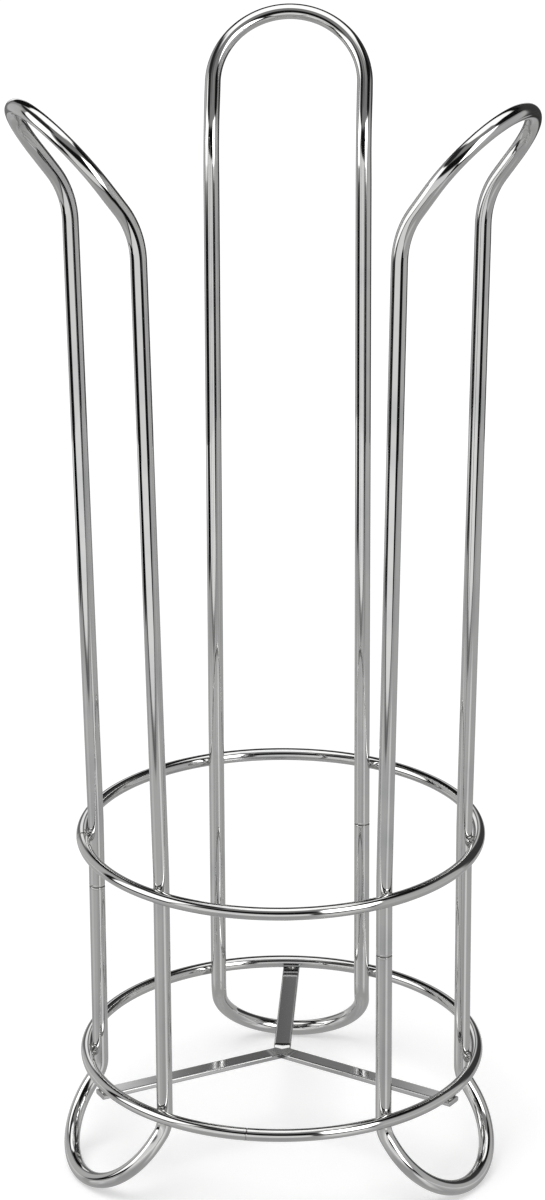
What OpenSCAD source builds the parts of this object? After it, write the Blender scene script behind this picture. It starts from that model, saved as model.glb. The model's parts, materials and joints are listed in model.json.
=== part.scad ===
// Free-standing wire stand for a stack of toilet rolls. Three closed wire loops stand round the stack,
// two rings tie their legs together from outside, and three flat bars carry the stack.
// The origin is on the stand's axis at floor level. The back loop stands towards +Y, and +Z is up.

/* [Stand] */
// Overall height, from the floor to the top of the arches
stand_h = 423; // [320:1:520]
// Clear diameter between the legs, where the stack stands
stack_space_d = 133.5; // [120:0.5:160]

/* [Wire] */
// Diameter of the wire in the three loops
loop_wire_d = 6; // [5:0.5:7]
// Diameter of the wire in the two rings
ring_wire_d = 4.8; // [4:0.2:6]
// Loss of diameter where bending stretches the wire
bend_thinning = 0.02; // [0.02:0.01:0.1]

/* [Loops] */
// Spacing of the two legs of a loop, centre to centre
leg_spacing = 57; // [46:1:68]
// Outward lean of the legs above the upper ring, in degrees
flare_angle = 1.25; // [0.5:0.25:3]
// Centreline radius of the slight bend where that lean starts
flare_bend_r = 150; // [80:10:200]
// Height of that bend's start above the upper ring
flare_start = 5; // [4:0.5:20]
// Outward lean of the arch from upright, in degrees
arch_lean = 36; // [20:1:50]
// Centreline radius of the bend below the arch
arch_bend_r = 40; // [15:1:60]
// Straight run between that bend and the arch
arch_run = 9; // [2:0.5:25]
// Outward splay of the foot from upright, in degrees
foot_splay = 38; // [20:1:50]
// Centreline radius of the bend above the foot
foot_bend_r = 11; // [8:0.5:25]
// Straight run between that bend and the foot's curve
foot_run = 2.5; // [1:0.5:15]

/* [Rings] */
// Height of the lower ring above the start of the foot bends
ring_above_foot = 3.3; // [3:0.1:10]
// Height of the upper ring above the lower one
ring_spacing = 90; // [60:1:140]
// Bearing of the upper ring's butt seam, in degrees from +X
upper_seam_bearing = 188; // [184:1:204]
// Bearing of the lower ring's butt seam, in degrees from +X
lower_seam_bearing = 263; // [250:1:290]

/* [Floor bars] */
// Width of each flat bar
bar_w = 6.5; // [5:0.5:10]
// Thickness of each flat bar
bar_t = 2; // [1.5:0.1:3]
// Radius of the rolled edges along a bar
bar_edge_r = 0.5; // [0.2:0.1:0.7]
// Reach of a bar past the lower ring's centreline
bar_past_ring = 2.5; // [2:0.1:6]

/* [Welds] */
// Depth that a wire sinks into its neighbour at a weld
weld_set_down = 0.3; // [0.1:0.05:0.4]
// Diameter of the weld metal where a ring crosses a leg
crossing_weld_d = 5; // [3.4:0.2:5.4]
// Diameter of the weld metal where a bar carries the lower ring
bar_weld_d = 4; // [3:0.2:4]
// Diameter of the bead under the centre of the bars
hub_bead_d = 6; // [4:0.5:8]
// Depth of that bead below the bars
hub_bead_h = 1; // [0.5:0.1:1.5]
// Distance of each loop's butt seam below the upper ring
seam_below_ring = 24; // [8:1:40]
// Width of the groove that is left at a butt seam
seam_w = 0.5; // [0.2:0.1:1]
// Depth of that groove
seam_depth = 0.15; // [0.05:0.05:0.3]

/* [Hidden] */

// Facets of a wire's section, and of one whole turn of a bend
section_facets = 144;
turn_facets = 256;

chrome = [0.80, 0.81, 0.83];
weld_grey = [0.70, 0.71, 0.73];

// Bearings of the three loops and of the bars below them
left_bearing = 210;
right_bearing = 330;
back_bearing = 90;
bearings = [left_bearing, right_bearing, back_bearing];

loop_r = loop_wire_d / 2;
bent_r = loop_r - bend_thinning / 2;
ring_wire_r = ring_wire_d / 2;
half_spacing = leg_spacing / 2;

// A straight stretch of wire reaches this far into the thinner bend at each of its ends
lap = 0.05;

// The legs stand on a circle round the stack, and the rings are welded round their outside
leg_circle_r = stack_space_d / 2 + loop_r;
leg_reach = sqrt(pow(leg_circle_r, 2) - pow(half_spacing, 2));
leg_half_angle = asin(half_spacing / leg_circle_r);
ring_r = leg_circle_r + loop_r + ring_wire_r - weld_set_down;
weld_circle_r = leg_circle_r + loop_r - weld_set_down / 2;

// The foot's curve rests on the floor, and the heights above it follow from the foot
foot_bend_h = loop_r + (half_spacing + foot_run) * cos(foot_splay) + foot_bend_r * sin(foot_splay);
lower_ring_h = foot_bend_h + ring_above_foot;
upper_ring_h = lower_ring_h + ring_spacing;
seam_h = upper_ring_h - seam_below_ring;

// The arch ends at the overall height, and the leaning stretch of the leg fills what is left
flare_h = upper_ring_h + flare_start;
flare_end_h = flare_h + flare_bend_r * sin(flare_angle);
arch_bend_h = stand_h - loop_r - (half_spacing + arch_run) * cos(arch_lean)
    - arch_bend_r * (sin(arch_lean) - sin(flare_angle));
leaning_run = (arch_bend_h - flare_end_h) / cos(flare_angle);

// The bars lie under the lower ring, which sinks into them
bar_top_h = lower_ring_h - ring_wire_r + weld_set_down;
bar_bottom_h = bar_top_h - bar_t;
bar_end_r = ring_r + bar_past_ring;

seam_turn = seam_w / ring_r * 180 / PI;

// Straight wire along +Z. Its children start at its far end.
module wire_run(length) {
    translate([0, 0, -lap]) cylinder(r = loop_r, h = length + 2 * lap, $fn = section_facets);
    translate([0, 0, length]) children();
}

// Wire that starts along +Z and bends towards +X. Its children start at its far end, along the wire.
module wire_bend(bend_r, angle) {
    translate([bend_r, 0, 0])
        rotate([90, 0, 180])
            rotate_extrude(angle = angle, $fn = turn_facets)
                translate([bend_r, 0]) circle(r = bent_r, $fn = section_facets);
    translate([bend_r * (1 - cos(angle)), 0, bend_r * sin(angle)])
        rotate([0, angle, 0]) children();
}

// Leg from the foot bend to the arch, with its upper part leaning outwards
module leg(seamed) {
    difference() {
        wire_run(flare_h - foot_bend_h)
            wire_bend(flare_bend_r, flare_angle) wire_run(leaning_run)
                wire_bend(arch_bend_r, arch_lean - flare_angle) wire_run(arch_run);
        if (seamed) translate([0, 0, seam_h - foot_bend_h]) seam_groove();
    }
    rotate([180, 0, 0]) wire_bend(foot_bend_r, foot_splay) wire_run(foot_run);
}

// Shallow groove that the butt weld leaves round a leg where the loop is closed
module seam_groove() {
    difference() {
        cylinder(r = loop_wire_d, h = seam_w, center = true, $fn = section_facets);
        cylinder(r = loop_r - seam_depth, h = 2 * seam_w, center = true, $fn = section_facets);
    }
}

// Half turn of wire from the leg at +Y over to the leg at -Y, which closes the arch or the foot
module half_turn() {
    rotate([0, 0, -90]) wire_bend(half_spacing, 180);
}

// One closed loop that stands on the +X side of the axis
module wire_loop() {
    arch_x = flare_bend_r * (1 - cos(flare_angle)) + leaning_run * sin(flare_angle)
        + arch_bend_r * (cos(flare_angle) - cos(arch_lean)) + arch_run * sin(arch_lean);
    arch_h = stand_h - loop_r - half_spacing * cos(arch_lean);
    foot_x = foot_bend_r * (1 - cos(foot_splay)) + foot_run * sin(foot_splay);
    foot_h = loop_r + half_spacing * cos(foot_splay);
    for (side = [-1, 1])
        translate([leg_reach, side * half_spacing, foot_bend_h]) leg(side < 0);
    translate([leg_reach + arch_x, half_spacing, arch_h]) rotate([0, arch_lean, 0]) half_turn();
    translate([leg_reach + foot_x, half_spacing, foot_h]) rotate([0, 180 - foot_splay, 0]) half_turn();
}

// Places its children at each of the six legs, on the circle where a ring is welded to them
module at_legs(height) {
    for (bearing = bearings, side = [-1, 1])
        rotate([0, 0, bearing + side * leg_half_angle]) translate([0, 0, height]) children();
}

// Part of a turn of wire round the axis
module ring_turn(angle, wire_r) {
    rotate_extrude(angle = angle, $fn = turn_facets)
        translate([ring_r, 0]) circle(r = wire_r, $fn = section_facets);
}

// Upright stretch of a leg where a ring crosses it
module leg_at_ring() {
    translate([leg_circle_r, 0, -crossing_weld_d])
        cylinder(r = loop_r, h = 2 * crossing_weld_d, $fn = section_facets);
}

// Ring round the legs, closed by a butt seam and seated on each leg
module wire_ring(height, seam_bearing) {
    difference() {
        translate([0, 0, height]) {
            rotate([0, 0, seam_bearing + seam_turn / 2]) ring_turn(360 - seam_turn, ring_wire_r);
            ring_turn(360, ring_wire_r - seam_depth);
        }
        at_legs(height) leg_at_ring();
    }
}

// Weld metal in the six corners between a ring and the legs
module crossing_welds(height) {
    difference() {
        at_legs(height)
            translate([weld_circle_r, 0, 0]) sphere(d = crossing_weld_d, $fn = section_facets);
        translate([0, 0, height]) ring_turn(360, ring_wire_r);
        at_legs(height) leg_at_ring();
    }
}

// Section of a flat bar, with its four edges rolled round
module bar_section() {
    square([bar_w, bar_t - 2 * bar_edge_r], center = true);
    square([bar_w - 2 * bar_edge_r, bar_t], center = true);
    for (x = [-1, 1], y = [-1, 1])
        translate([x * (bar_w / 2 - bar_edge_r), y * (bar_t / 2 - bar_edge_r)])
            circle(r = bar_edge_r, $fn = section_facets);
}

// Flat bar from the axis out past the lower ring. Its inner end is mitred to meet the other two.
module floor_bar() {
    mitre = bar_w;
    difference() {
        translate([0, 0, bar_bottom_h + bar_t / 2])
            rotate([90, 0, 90]) linear_extrude(bar_end_r) bar_section();
        for (side = [-1, 1])
            translate([0, 0, bar_bottom_h - bar_t])
                linear_extrude(3 * bar_t)
                    polygon([[0, 0], [mitre * cos(60), side * mitre * sin(60)],
                        [-mitre, side * mitre * sin(60)], [-mitre, 0]]);
        translate([0, 0, lower_ring_h]) ring_turn(360, ring_wire_r);
    }
}

// Weld metal on both sides of the lower ring, on top of each bar
module bar_welds() {
    difference() {
        for (bearing = bearings)
            rotate([0, 0, bearing]) translate([ring_r, 0, bar_top_h])
                difference() {
                    sphere(d = bar_weld_d, $fn = section_facets);
                    translate([-bar_weld_d, -bar_weld_d, -2 * bar_weld_d])
                        cube([2 * bar_weld_d, 2 * bar_weld_d, 2 * bar_weld_d]);
                }
        translate([0, 0, lower_ring_h]) ring_turn(360, ring_wire_r);
    }
}

// Low bead under the point where the three bars meet
module centre_bead() {
    dome_r = (pow(hub_bead_d / 2, 2) + pow(hub_bead_h, 2)) / (2 * hub_bead_h);
    intersection() {
        translate([0, 0, bar_bottom_h - hub_bead_h + dome_r]) sphere(r = dome_r, $fn = section_facets);
        translate([0, 0, bar_bottom_h - 2 * hub_bead_h])
            cylinder(d = 2 * hub_bead_d, h = 2 * hub_bead_h, $fn = section_facets);
    }
}

module loop_left() { color(chrome) rotate([0, 0, left_bearing]) wire_loop(); }
module loop_right() { color(chrome) rotate([0, 0, right_bearing]) wire_loop(); }
module loop_back() { color(chrome) rotate([0, 0, back_bearing]) wire_loop(); }
module upper_ring() { color(chrome) wire_ring(upper_ring_h, upper_seam_bearing); }
module lower_ring() { color(chrome) wire_ring(lower_ring_h, lower_seam_bearing); }
module floor_bar_left() { color(chrome) rotate([0, 0, left_bearing]) floor_bar(); }
module floor_bar_right() { color(chrome) rotate([0, 0, right_bearing]) floor_bar(); }
module floor_bar_back() { color(chrome) rotate([0, 0, back_bearing]) floor_bar(); }
module upper_ring_welds() { color(weld_grey) crossing_welds(upper_ring_h); }
module lower_ring_welds() { color(weld_grey) crossing_welds(lower_ring_h); }
module floor_bar_welds() { color(weld_grey) bar_welds(); }
module hub_weld() { color(weld_grey) centre_bead(); }

loop_left();
loop_right();
loop_back();
upper_ring();
lower_ring();
floor_bar_left();
floor_bar_right();
floor_bar_back();
upper_ring_welds();
lower_ring_welds();
floor_bar_welds();
hub_weld();
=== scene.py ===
import sys
import json
import logging
from dataclasses import dataclass
from enum import Enum
from typing import ClassVar

import bpy
import numpy as np
from mathutils import Matrix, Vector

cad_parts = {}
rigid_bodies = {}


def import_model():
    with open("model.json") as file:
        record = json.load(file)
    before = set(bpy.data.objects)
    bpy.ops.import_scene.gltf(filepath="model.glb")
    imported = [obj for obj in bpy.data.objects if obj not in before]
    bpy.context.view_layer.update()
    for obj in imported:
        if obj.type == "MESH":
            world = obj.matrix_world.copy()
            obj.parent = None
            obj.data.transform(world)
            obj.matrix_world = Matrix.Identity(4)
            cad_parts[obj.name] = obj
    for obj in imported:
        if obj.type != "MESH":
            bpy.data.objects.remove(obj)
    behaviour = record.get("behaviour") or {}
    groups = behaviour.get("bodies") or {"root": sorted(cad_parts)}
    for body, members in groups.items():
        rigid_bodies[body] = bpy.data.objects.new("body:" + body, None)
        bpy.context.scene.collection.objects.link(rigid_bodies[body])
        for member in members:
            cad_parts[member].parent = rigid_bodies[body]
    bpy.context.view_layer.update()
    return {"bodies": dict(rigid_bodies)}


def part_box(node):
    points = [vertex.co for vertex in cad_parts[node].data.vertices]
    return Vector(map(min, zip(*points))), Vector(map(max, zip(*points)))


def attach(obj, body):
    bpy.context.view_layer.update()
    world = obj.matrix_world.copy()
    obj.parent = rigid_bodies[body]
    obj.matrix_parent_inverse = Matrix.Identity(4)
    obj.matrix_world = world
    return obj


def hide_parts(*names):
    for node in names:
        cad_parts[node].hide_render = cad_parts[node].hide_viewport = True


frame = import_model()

MM = 0.001
FULL_TURN = 2 * np.pi
BODY = next(iter(frame["bodies"]))
LOG = logging.getLogger("stand")

# Numbers of a Mix node's colour inputs, because its other inputs have the same names.
COLOUR_A, COLOUR_B = 6, 7


class Place(Enum):
    """The three places round the axis where a loop stands, by bearing in degrees from +X."""

    LEFT = 210
    RIGHT = 330
    BACK = 90

    @property
    def word(self) -> str:
        """The place as the names of nodes and pieces give it."""
        return self.name.lower()


class Level(Enum):
    """The two heights at which a ring ties the legs together."""

    UPPER = "upper"
    LOWER = "lower"


def linear(hex_colour: str) -> tuple[float, float, float, float]:
    """Turns an sRGB hex colour into the linear colour that a shader socket takes. The numbers are
    the sRGB standard's own.

    Args:
        hex_colour: The colour, such as "#C8C8C8".

    Returns:
        Linear red, green and blue, and an alpha of 1.
    """
    srgb = np.array([int(hex_colour[i:i + 2], 16) for i in (1, 3, 5)]) / 255
    toned = np.where(srgb <= 0.04045, srgb / 12.92, ((srgb + 0.055) / 1.055) ** 2.4)
    return (*toned.tolist(), 1.0)


def add_node(
    tree: bpy.types.NodeTree, kind: str, inputs: dict | None = None, **settings: object
) -> bpy.types.Node:
    """Adds one node to a tree.

    Args:
        tree: The node tree.
        kind: The node's type name.
        inputs: For each input's name or number, a value to set, or a socket or a node to link. A
            node stands for the first of its outputs that is in use.
        **settings: The node's own properties.

    Returns:
        The new node.
    """
    node = tree.nodes.new(kind)
    for name, value in settings.items():
        setattr(node, name, value)
    for name, value in (inputs or {}).items():
        if isinstance(value, bpy.types.Node):
            value = next(output for output in value.outputs if output.enabled)
        if isinstance(value, bpy.types.NodeSocket):
            tree.links.new(value, node.inputs[name])
        else:
            node.inputs[name].default_value = value
    return node


def new_material(name: str) -> tuple[bpy.types.Material, bpy.types.NodeTree]:
    """Makes an empty node material.

    Args:
        name: The material's name.

    Returns:
        The material and its node tree.
    """
    material = bpy.data.materials.new(name)
    material.use_nodes = True
    material.node_tree.nodes.clear()
    return material, material.node_tree


def turned(points: np.ndarray, bearing: float) -> np.ndarray:
    """Turns points, with x, y and z on their last axis, round the stand's axis, in degrees."""
    cos, sin = np.cos(np.radians(bearing)), np.sin(np.radians(bearing))
    return points @ np.array([[cos, sin, 0], [-sin, cos, 0], [0, 0, 1]])


def angles(count: int) -> np.ndarray:
    """Gives the angles of points spaced evenly round a circle."""
    return np.arange(count) / count * FULL_TURN


def on_circle(turn: np.ndarray) -> np.ndarray:
    """Gives the points of a circle of radius 1 at some angles: the cosine, and then the sine."""
    return np.stack([np.cos(turn), np.sin(turn)], -1)


def half_chord(radius: float, aside: np.ndarray) -> np.ndarray:
    """Gives a round wire's height beside its axis: the root of the squares' difference, or 0."""
    return np.sqrt(np.maximum(radius**2 - aside**2, 0))


def grid_faces(rows: int, columns: int, close_rows: bool, close_columns: bool) -> np.ndarray:
    """Works out the four-sided faces of a grid of vertices that is stored row by row.

    Args:
        rows: Number of rows of vertices.
        columns: Number of vertices in a row.
        close_rows: Whether the last row joins the first.
        close_columns: Whether each row's last vertex joins its first.

    Returns:
        An array of faces with four vertex numbers each.
    """
    i = np.arange(rows if close_rows else rows - 1)[:, None]
    j = np.arange(columns if close_columns else columns - 1)[None, :]
    below, beside = (i + 1) % rows, (j + 1) % columns
    corners = [
        i * columns + j, i * columns + beside, below * columns + beside, below * columns + j
    ]
    return np.stack([np.broadcast_to(c, (i.size, j.size)) for c in corners], -1).reshape(-1, 4)


def grid_uv(rows: int, columns: int) -> np.ndarray:
    """Gives each corner of a closed grid's faces its share of the way along and round.

    Args:
        rows: Number of rows of vertices, along the piece.
        columns: Number of vertices in a row, round the piece.

    Returns:
        Two coordinates from 0 to 1 for each face corner, in the order of grid_faces.
    """
    i, j = np.meshgrid(np.arange(rows), np.arange(columns), indexing="ij")
    along = np.stack([i, i, i + 1, i + 1], -1) / rows
    around = np.stack([j, j + 1, j + 1, j], -1) / columns
    return np.stack([along, around], -1)


def make_piece(
    name: str, points: np.ndarray, faces: np.ndarray | list, uv: np.ndarray | None = None
) -> bpy.types.Object:
    """Puts a surface into the scene as one smooth-shaded object at the origin.

    Args:
        name: The object's name.
        points: Vertices, in metres.
        faces: Vertex numbers of each face, with the outside to the front.
        uv: Two coordinates for each face corner, in face order.

    Returns:
        The new object.
    """
    mesh = bpy.data.meshes.new(name)
    mesh.from_pydata(points.reshape(-1, 3), [], faces)
    mesh.shade_smooth()
    if uv is not None:
        mesh.uv_layers.new(name="along_and_round").uv.foreach_set("vector", uv.ravel())
    piece = bpy.data.objects.new(name, mesh)
    bpy.context.scene.collection.objects.link(piece)
    return piece


def add_attribute(piece: bpy.types.Object, name: str, values: np.ndarray) -> None:
    """Stores a number for each of a piece's vertices, in their order, for its material to read."""
    attribute = piece.data.attributes.new(name, "FLOAT", "POINT")
    attribute.data.foreach_set("value", values.astype(np.float32).ravel())


@dataclass(frozen=True)
class Sizes:
    """Sizes that several pieces share, in metres and degrees. The heights, the rings and the
    spacing of the legs come from the frame, and the wire's bends are the real ones."""

    stand_h: float
    half_spacing: float
    ring_r: float
    ring_wire_r: float
    upper_ring_h: float
    lower_ring_h: float
    loop_wire_r: float = 3 * MM
    weld_set_down: float = 0.3 * MM
    flare_angle: float = 1.25
    flare_bend_r: float = 150 * MM
    flare_start: float = 5 * MM
    arch_lean: float = 36
    # The solids bend at 40 mm. This bend is tighter and the run above it is longer to match.
    arch_bend_r: float = 34 * MM
    arch_run: float = 10.88 * MM
    foot_splay: float = 38
    foot_bend_r: float = 11 * MM
    foot_run: float = 2.5 * MM

    @classmethod
    def from_frame(cls) -> "Sizes":
        """Reads the driving sizes off the boxes of the CAD nodes.

        Returns:
            The sizes.
        """
        loop_low, loop_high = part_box("loop_back")
        upper_low, upper_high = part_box("upper_ring")
        lower_low, lower_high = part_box("lower_ring")
        wire_r = (upper_high.z - upper_low.z) / 2
        return cls(
            stand_h=loop_high.z,
            half_spacing=(loop_high.x - loop_low.x) / 2 - cls.loop_wire_r,
            ring_r=(upper_high.x - upper_low.x) / 2 - wire_r,
            ring_wire_r=wire_r,
            upper_ring_h=(upper_low.z + upper_high.z) / 2,
            lower_ring_h=(lower_low.z + lower_high.z) / 2,
        )

    @property
    def leg_circle_r(self) -> float:
        """Radius of the circle that the legs stand on."""
        return self.ring_r - self.ring_wire_r - self.loop_wire_r + self.weld_set_down

    @property
    def leg_reach(self) -> float:
        """Distance of a loop's plane of legs from the axis."""
        return (self.leg_circle_r**2 - self.half_spacing**2) ** 0.5

    @property
    def foot_bend_h(self) -> float:
        """Finds where the foot bends end and the legs run upright.

        Returns:
            The height.
        """
        splay = np.radians(self.foot_splay)
        curve = (self.half_spacing + self.foot_run) * np.cos(splay)
        return self.loop_wire_r + curve + self.foot_bend_r * np.sin(splay)

    def ring_h(self, level: Level) -> float:
        """Height of a ring's centreline."""
        return self.upper_ring_h if level is Level.UPPER else self.lower_ring_h

    def leg_bearings(self) -> list[float]:
        """Bearings of the six legs."""
        half_angle = float(np.degrees(np.arcsin(self.half_spacing / self.leg_circle_r)))
        return [place.value + side * half_angle for place in Place for side in (-1, 1)]


@dataclass(frozen=True)
class Chrome:
    """Bright chrome plate over steel. Each kind is a mirror that changes with the metal under it,
    from plain to worn. It has its name, a slot name that nothing in the script reads, its two
    colours, its two roughnesses, and the range of its pattern over which it dulls."""

    name: str
    slot: str
    plate: str
    worn: str
    roughness: float
    worn_roughness: float
    dulls: tuple[float, float]

    def material(self, *sizes: float) -> bpy.types.Material:
        """Makes the finish for one piece.

        Args:
            *sizes: What the pattern has to know of the piece.

        Returns:
            The material, which reads Object coordinates and what else its pattern names.
        """
        material, tree = new_material(self.name)
        place = add_node(tree, "ShaderNodeTexCoord").outputs["Object"]
        tint, wear, bump = self.pattern(tree, place, *sizes)
        colour = add_node(
            tree, "ShaderNodeMix",
            {"Factor": tint, COLOUR_A: linear(self.plate), COLOUR_B: linear(self.worn)},
            data_type="RGBA",
        )
        gloss = add_node(
            tree, "ShaderNodeMapRange",
            {"Value": wear, "From Min": self.dulls[0], "From Max": self.dulls[1],
             "To Min": self.roughness, "To Max": self.worn_roughness},
        )
        mirror = add_node(
            tree, "ShaderNodeBsdfPrincipled",
            {"Base Color": self.marked(tree, colour), "Metallic": 1.0, "Roughness": gloss,
             "Normal": bump},
        )
        add_node(tree, "ShaderNodeOutputMaterial", {"Surface": mirror})
        return material

    def pattern(
        self, tree: bpy.types.NodeTree, place: bpy.types.NodeSocket, *sizes: float
    ) -> tuple[bpy.types.Node, ...]:
        """Adds this kind's pattern, and gives the worn colour's share, the wear and the bump."""
        raise NotImplementedError

    def marked(self, tree: bpy.types.NodeTree, colour: bpy.types.Node) -> bpy.types.Node:
        """Gives the colour with this kind's own marks laid over it, which by default are none."""
        return colour


@dataclass(frozen=True)
class ChromedWire(Chrome):
    """Bright chrome plate on drawn steel wire. To the eye it is a clean mirror with a faint ripple
    from polishing, and with draw lines that show only where a reflection's edge runs along the
    wire."""

    name: str = "chrome_plated_drawn_wire"
    slot: str = "chrome_wire"
    plate: str = "#CACAC9"
    worn: str = "#BCBDBD"
    roughness: float = 0.02
    worn_roughness: float = 0.06
    dulls: tuple[float, float] = (0.35, 0.75)
    tints: tuple[float, float] = (0.5, 0.75)
    haze_size: float = 22 * MM
    haze_octaves: float = 3.0
    ripple_size: float = 16 * MM
    ripple_octaves: float = 2.0
    ripple_depth: float = 0.008 * MM
    # Real draw lines are about 0.05 mm apart, which is too fine to show, so they are drawn coarser.
    draw_line_width: float = 0.4 * MM
    draw_line_length: float = 60 * MM
    draw_line_octaves: float = 3.0
    draw_line_depth: float = 0.0002 * MM
    seam: str = "#4A4845"

    def pattern(
        self, tree: bpy.types.NodeTree, place: bpy.types.NodeSocket, length: float, wire_r: float
    ) -> tuple[bpy.types.Node, ...]:
        """Adds the haze, the ripple and the draw lines.

        Args:
            tree: The material's node tree.
            place: Object coordinates.
            length: The wire's length along its centreline.
            wire_r: The wire's radius.

        Returns:
            Nodes for the worn colour's share, the wear that dulls, and the bump, which also reads
            the piece's along-and-round map.
        """
        haze = add_node(
            tree, "ShaderNodeTexNoise",
            {"Vector": place, "Scale": 1 / self.haze_size, "Detail": self.haze_octaves},
        )
        patches = add_node(
            tree, "ShaderNodeMapRange",
            {"Value": haze, "From Min": self.tints[0], "From Max": self.tints[1]},
        )
        ripple = add_node(
            tree, "ShaderNodeTexNoise",
            {"Vector": place, "Scale": 1 / self.ripple_size, "Detail": self.ripple_octaves},
        )
        waves = add_node(tree, "ShaderNodeBump", {"Height": ripple, "Distance": self.ripple_depth})
        lines = add_node(
            tree, "ShaderNodeTexNoise",
            {"Vector": self.wrapped(tree, length, wire_r), "Scale": 1.0,
             "Detail": self.draw_line_octaves},
        )
        bump = add_node(
            tree, "ShaderNodeBump",
            {"Height": lines, "Distance": self.draw_line_depth, "Normal": waves},
        )
        return patches, haze, bump

    def marked(self, tree: bpy.types.NodeTree, colour: bpy.types.Node) -> bpy.types.Node:
        """Darkens the colour towards the seam colour along the butt seam, by the piece's seam
        attribute.

        Args:
            tree: The material's node tree.
            colour: The plate's colour.

        Returns:
            The colour with the seam in it.
        """
        seam_darkening = add_node(tree, "ShaderNodeAttribute", attribute_name=ButtSeam.attribute)
        return add_node(
            tree, "ShaderNodeMix",
            {"Factor": seam_darkening.outputs["Fac"], COLOUR_A: colour, COLOUR_B: linear(self.seam)},
            data_type="RGBA",
        )

    def wrapped(self, tree: bpy.types.NodeTree, length: float, wire_r: float) -> bpy.types.Node:
        """Wraps the flat map into a round bar, so that a pattern meets itself all the way round.

        Args:
            tree: The material's node tree.
            length: The wire's length.
            wire_r: The wire's radius.

        Returns:
            A vector in draw-line widths round the bar, and in draw-line lengths along it.
        """
        uv = add_node(tree, "ShaderNodeUVMap")
        flat = add_node(tree, "ShaderNodeSeparateXYZ", {0: uv}).outputs
        angle = add_node(tree, "ShaderNodeMath", {0: flat["Y"], 1: FULL_TURN}, operation="MULTIPLY")
        cos, sin = (
            add_node(tree, "ShaderNodeMath", {0: angle}, operation=wave)
            for wave in ("COSINE", "SINE")
        )
        widths, lengths = wire_r / self.draw_line_width, length / self.draw_line_length
        x, y, z = (
            add_node(tree, "ShaderNodeMath", {0: part, 1: scale}, operation="MULTIPLY")
            for part, scale in ((cos, widths), (sin, widths), (flat["X"], lengths))
        )
        return add_node(tree, "ShaderNodeCombineXYZ", {"X": x, "Y": y, "Z": z})


@dataclass(frozen=True)
class ChromedBar(Chrome):
    """Bright chrome plate on flat steel bar. To the eye it is a mirror that is a little less even
    than the wire, with faint rub marks along it from use."""

    name: str = "chrome_plated_flat_bar"
    slot: str = "chrome_bar"
    plate: str = "#C6C6C5"
    worn: str = "#B4B5B5"
    roughness: float = 0.05
    worn_roughness: float = 0.13
    dulls: tuple[float, float] = (0.3, 0.75)
    # Real rub marks are about 0.1 mm wide, which is too fine to show, so they are drawn coarser.
    rub_width: float = 0.5 * MM
    rub_length: float = 9 * MM
    rub_octaves: float = 5.0
    rub_harshness: float = 0.65
    grain_size: float = 3 * MM
    grain_octaves: float = 3.0
    grain_depth: float = 0.002 * MM

    def pattern(
        self, tree: bpy.types.NodeTree, place: bpy.types.NodeSocket, bearing: float
    ) -> tuple[bpy.types.Node, ...]:
        """Adds the rub marks and the grain.

        Args:
            tree: The material's node tree.
            place: Object coordinates.
            bearing: The bar's bearing, which the rub marks follow.

        Returns:
            Nodes for the worn colour's share, the wear that dulls, and the bump.
        """
        straight = add_node(
            tree, "ShaderNodeMapping", {"Vector": place, "Rotation": (0, 0, -np.radians(bearing))}
        )
        stretched = add_node(
            tree, "ShaderNodeMapping",
            {"Vector": straight,
             "Scale": (1 / self.rub_length, 1 / self.rub_width, 1 / self.rub_width)},
        )
        rub = add_node(
            tree, "ShaderNodeTexNoise",
            {"Vector": stretched, "Scale": 1.0, "Detail": self.rub_octaves,
             "Roughness": self.rub_harshness},
        )
        grain = add_node(
            tree, "ShaderNodeTexNoise",
            {"Vector": place, "Scale": 1 / self.grain_size, "Detail": self.grain_octaves},
        )
        bump = add_node(tree, "ShaderNodeBump", {"Height": grain, "Distance": self.grain_depth})
        return rub, rub, bump


@dataclass(frozen=True)
class ChromedWeld(Chrome):
    """Chrome plate over the metal that a resistance weld squeezes out. The plate follows the rough
    metal, so to the eye it is bright specks and dark pits."""

    name: str = "chrome_plated_weld_metal"
    slot: str = "chrome_weld"
    plate: str = "#AFAFAE"
    worn: str = "#767370"
    roughness: float = 0.2
    worn_roughness: float = 0.38
    dulls: tuple[float, float] = (0.0, 1.0)
    # Real pits are 0.2 to 0.5 mm across, which is too fine to show, so they are drawn coarser.
    pit_size: float = 1.1 * MM
    pit_octaves: float = 4.0
    pit_harshness: float = 0.6
    pit_slope: tuple[float, float] = (0.42, 0.7)
    pit_depth: float = 0.02 * MM

    def pattern(
        self, tree: bpy.types.NodeTree, place: bpy.types.NodeSocket
    ) -> tuple[bpy.types.Node, ...]:
        """Adds the pits.

        Args:
            tree: The material's node tree.
            place: Object coordinates.

        Returns:
            Nodes for the worn colour's share, the wear that dulls, and the bump.
        """
        pits = add_node(
            tree, "ShaderNodeTexNoise",
            {"Vector": place, "Scale": 1 / self.pit_size, "Detail": self.pit_octaves,
             "Roughness": self.pit_harshness},
        )
        depth = add_node(
            tree, "ShaderNodeMapRange",
            {"Value": pits, "From Min": self.pit_slope[0], "From Max": self.pit_slope[1]},
        )
        bump = add_node(
            tree, "ShaderNodeBump", {"Height": depth, "Distance": self.pit_depth}, invert=True
        )
        return depth, depth, bump


def place_piece(piece: bpy.types.Object, node: str, finish: bpy.types.Material) -> None:
    """Gives a finished piece its material and its place in the frame, and reports it.

    Args:
        piece: The piece.
        node: The CAD node that it stands for.
        finish: Its material.
    """
    piece.data.materials.append(finish)
    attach(piece, BODY)
    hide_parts(node)
    LOG.info("%s: %d vertices, %s", piece.name, len(piece.data.vertices), finish.name)


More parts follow.
